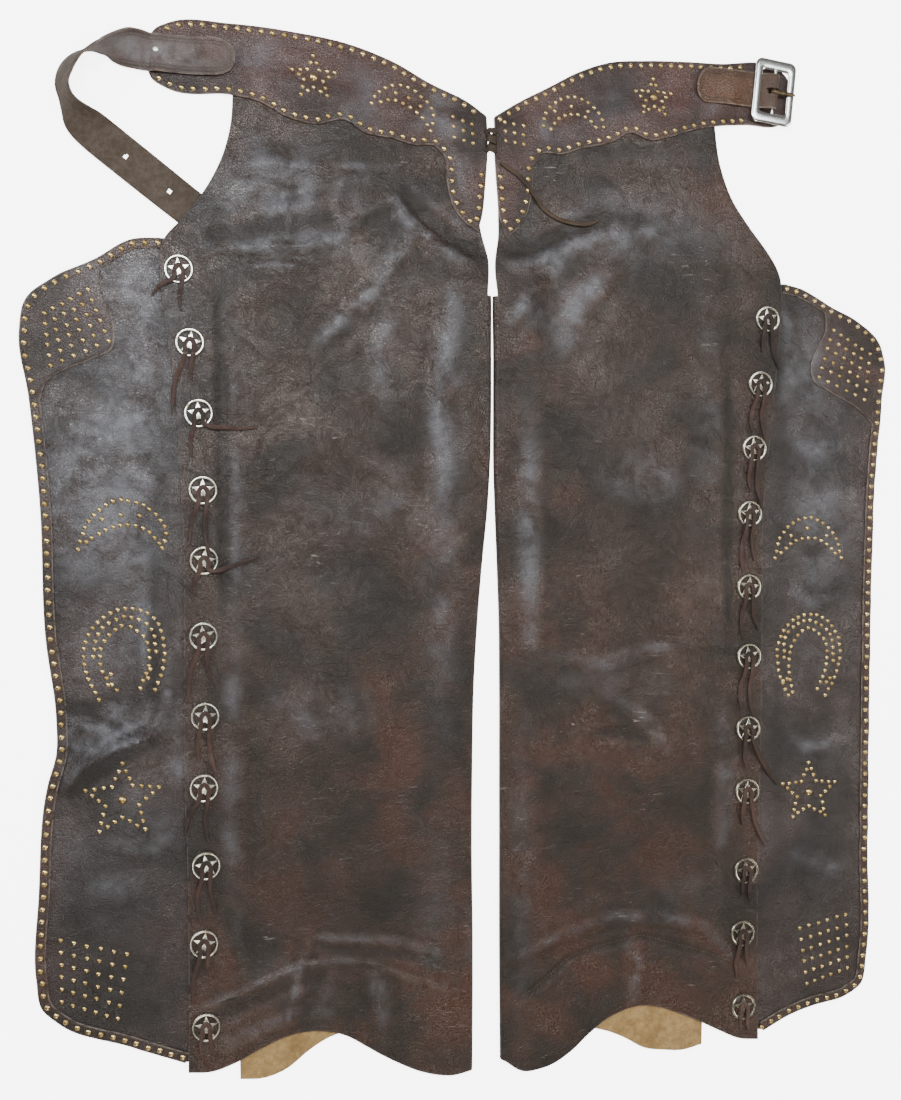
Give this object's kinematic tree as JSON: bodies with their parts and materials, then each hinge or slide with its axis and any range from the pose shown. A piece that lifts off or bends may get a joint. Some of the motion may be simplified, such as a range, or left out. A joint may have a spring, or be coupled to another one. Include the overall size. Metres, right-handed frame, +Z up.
{
  "type": "leather chaps laid flat",
  "caption": "Pair of studded leather riding chaps with side wings, laced conchos, a two-piece belt yoke, a buckle and a strap, laid flat.",
  "frame": {"origin": "on the surface the chaps lie on, under the middle of their box", "axes": "+Y up the legs towards the belt, +X to the right of the chaps as seen from above, +Z up from the surface"},
  "size_m": [0.8672, 1.0144, 0.0351],
  "materials": {
    "leg_leather": "dark brown to near black smooth leather, worn gloss",
    "wing_leather": "dark brown leather with a cool sheen",
    "trim_leather": "dark brown border strip",
    "yoke_leather": "reddish dark brown belt leather",
    "strap_leather": "brown strap leather, matte flesh side",
    "thong_leather": "dark brown lace leather",
    "nickel": "worn nickel silver",
    "brass": "small domed brass studs"
  },
  "bodies": {
    "chaps": {"buckle_frame": "nickel", "centre_lace": "thong_leather", "chape": "strap_leather", "concho_left_01": "nickel", "concho_left_02": "nickel", "concho_left_03": "nickel", "concho_left_04": "nickel", "concho_left_05": "nickel", "concho_left_06": "nickel", "concho_left_07": "nickel", "concho_left_08": "nickel", "concho_left_09": "nickel", "concho_left_10": "nickel", "concho_left_11": "nickel", "concho_right_01": "nickel", "concho_right_02": "nickel", "concho_right_03": "nickel", "concho_right_04": "nickel", "concho_right_05": "nickel", "concho_right_06": "nickel", "concho_right_07": "nickel", "concho_right_08": "nickel", "concho_right_09": "nickel", "concho_right_10": "nickel", "concho_right_11": "nickel", "lace_knot": "thong_leather", "leg_left": "leg_leather", "leg_right": "leg_leather", "strap": "strap_leather", "strap_rivet": "nickel", "tie_left_01": "thong_leather", "tie_left_02": "thong_leather", "tie_left_03": "thong_leather", "tie_left_04": "thong_leather", "tie_left_05": "thong_leather", "tie_left_06": "thong_leather", "tie_left_07": "thong_leather", "tie_left_08": "thong_leather", "tie_left_09": "thong_leather", "tie_left_10": "thong_leather", "tie_left_11": "thong_leather", "tie_right_01": "thong_leather", "tie_right_02": "thong_leather", "tie_right_03": "thong_leather", "tie_right_04": "thong_leather", "tie_right_05": "thong_leather", "tie_right_06": "thong_leather", "tie_right_07": "thong_leather", "tie_right_08": "thong_leather", "tie_right_09": "thong_leather", "tie_right_10": "thong_leather", "tie_right_11": "thong_leather", "wing_left": "wing_leather", "wing_right": "wing_leather", "wing_trim_left": "trim_leather", "wing_trim_right": "trim_leather", "yoke_left": "yoke_leather", "yoke_right": "yoke_leather"},
    "prong": {"prong": "nickel"}
  },
  "joints": [
    {"name": "prong_turn", "type": "hinge", "parent": "chaps", "child": "prong", "pos_m": [0.304, 0.4733, 0.0071], "axis": [-0.1045, -0.9945, 0], "range_deg": [0, 130]}
  ]
}
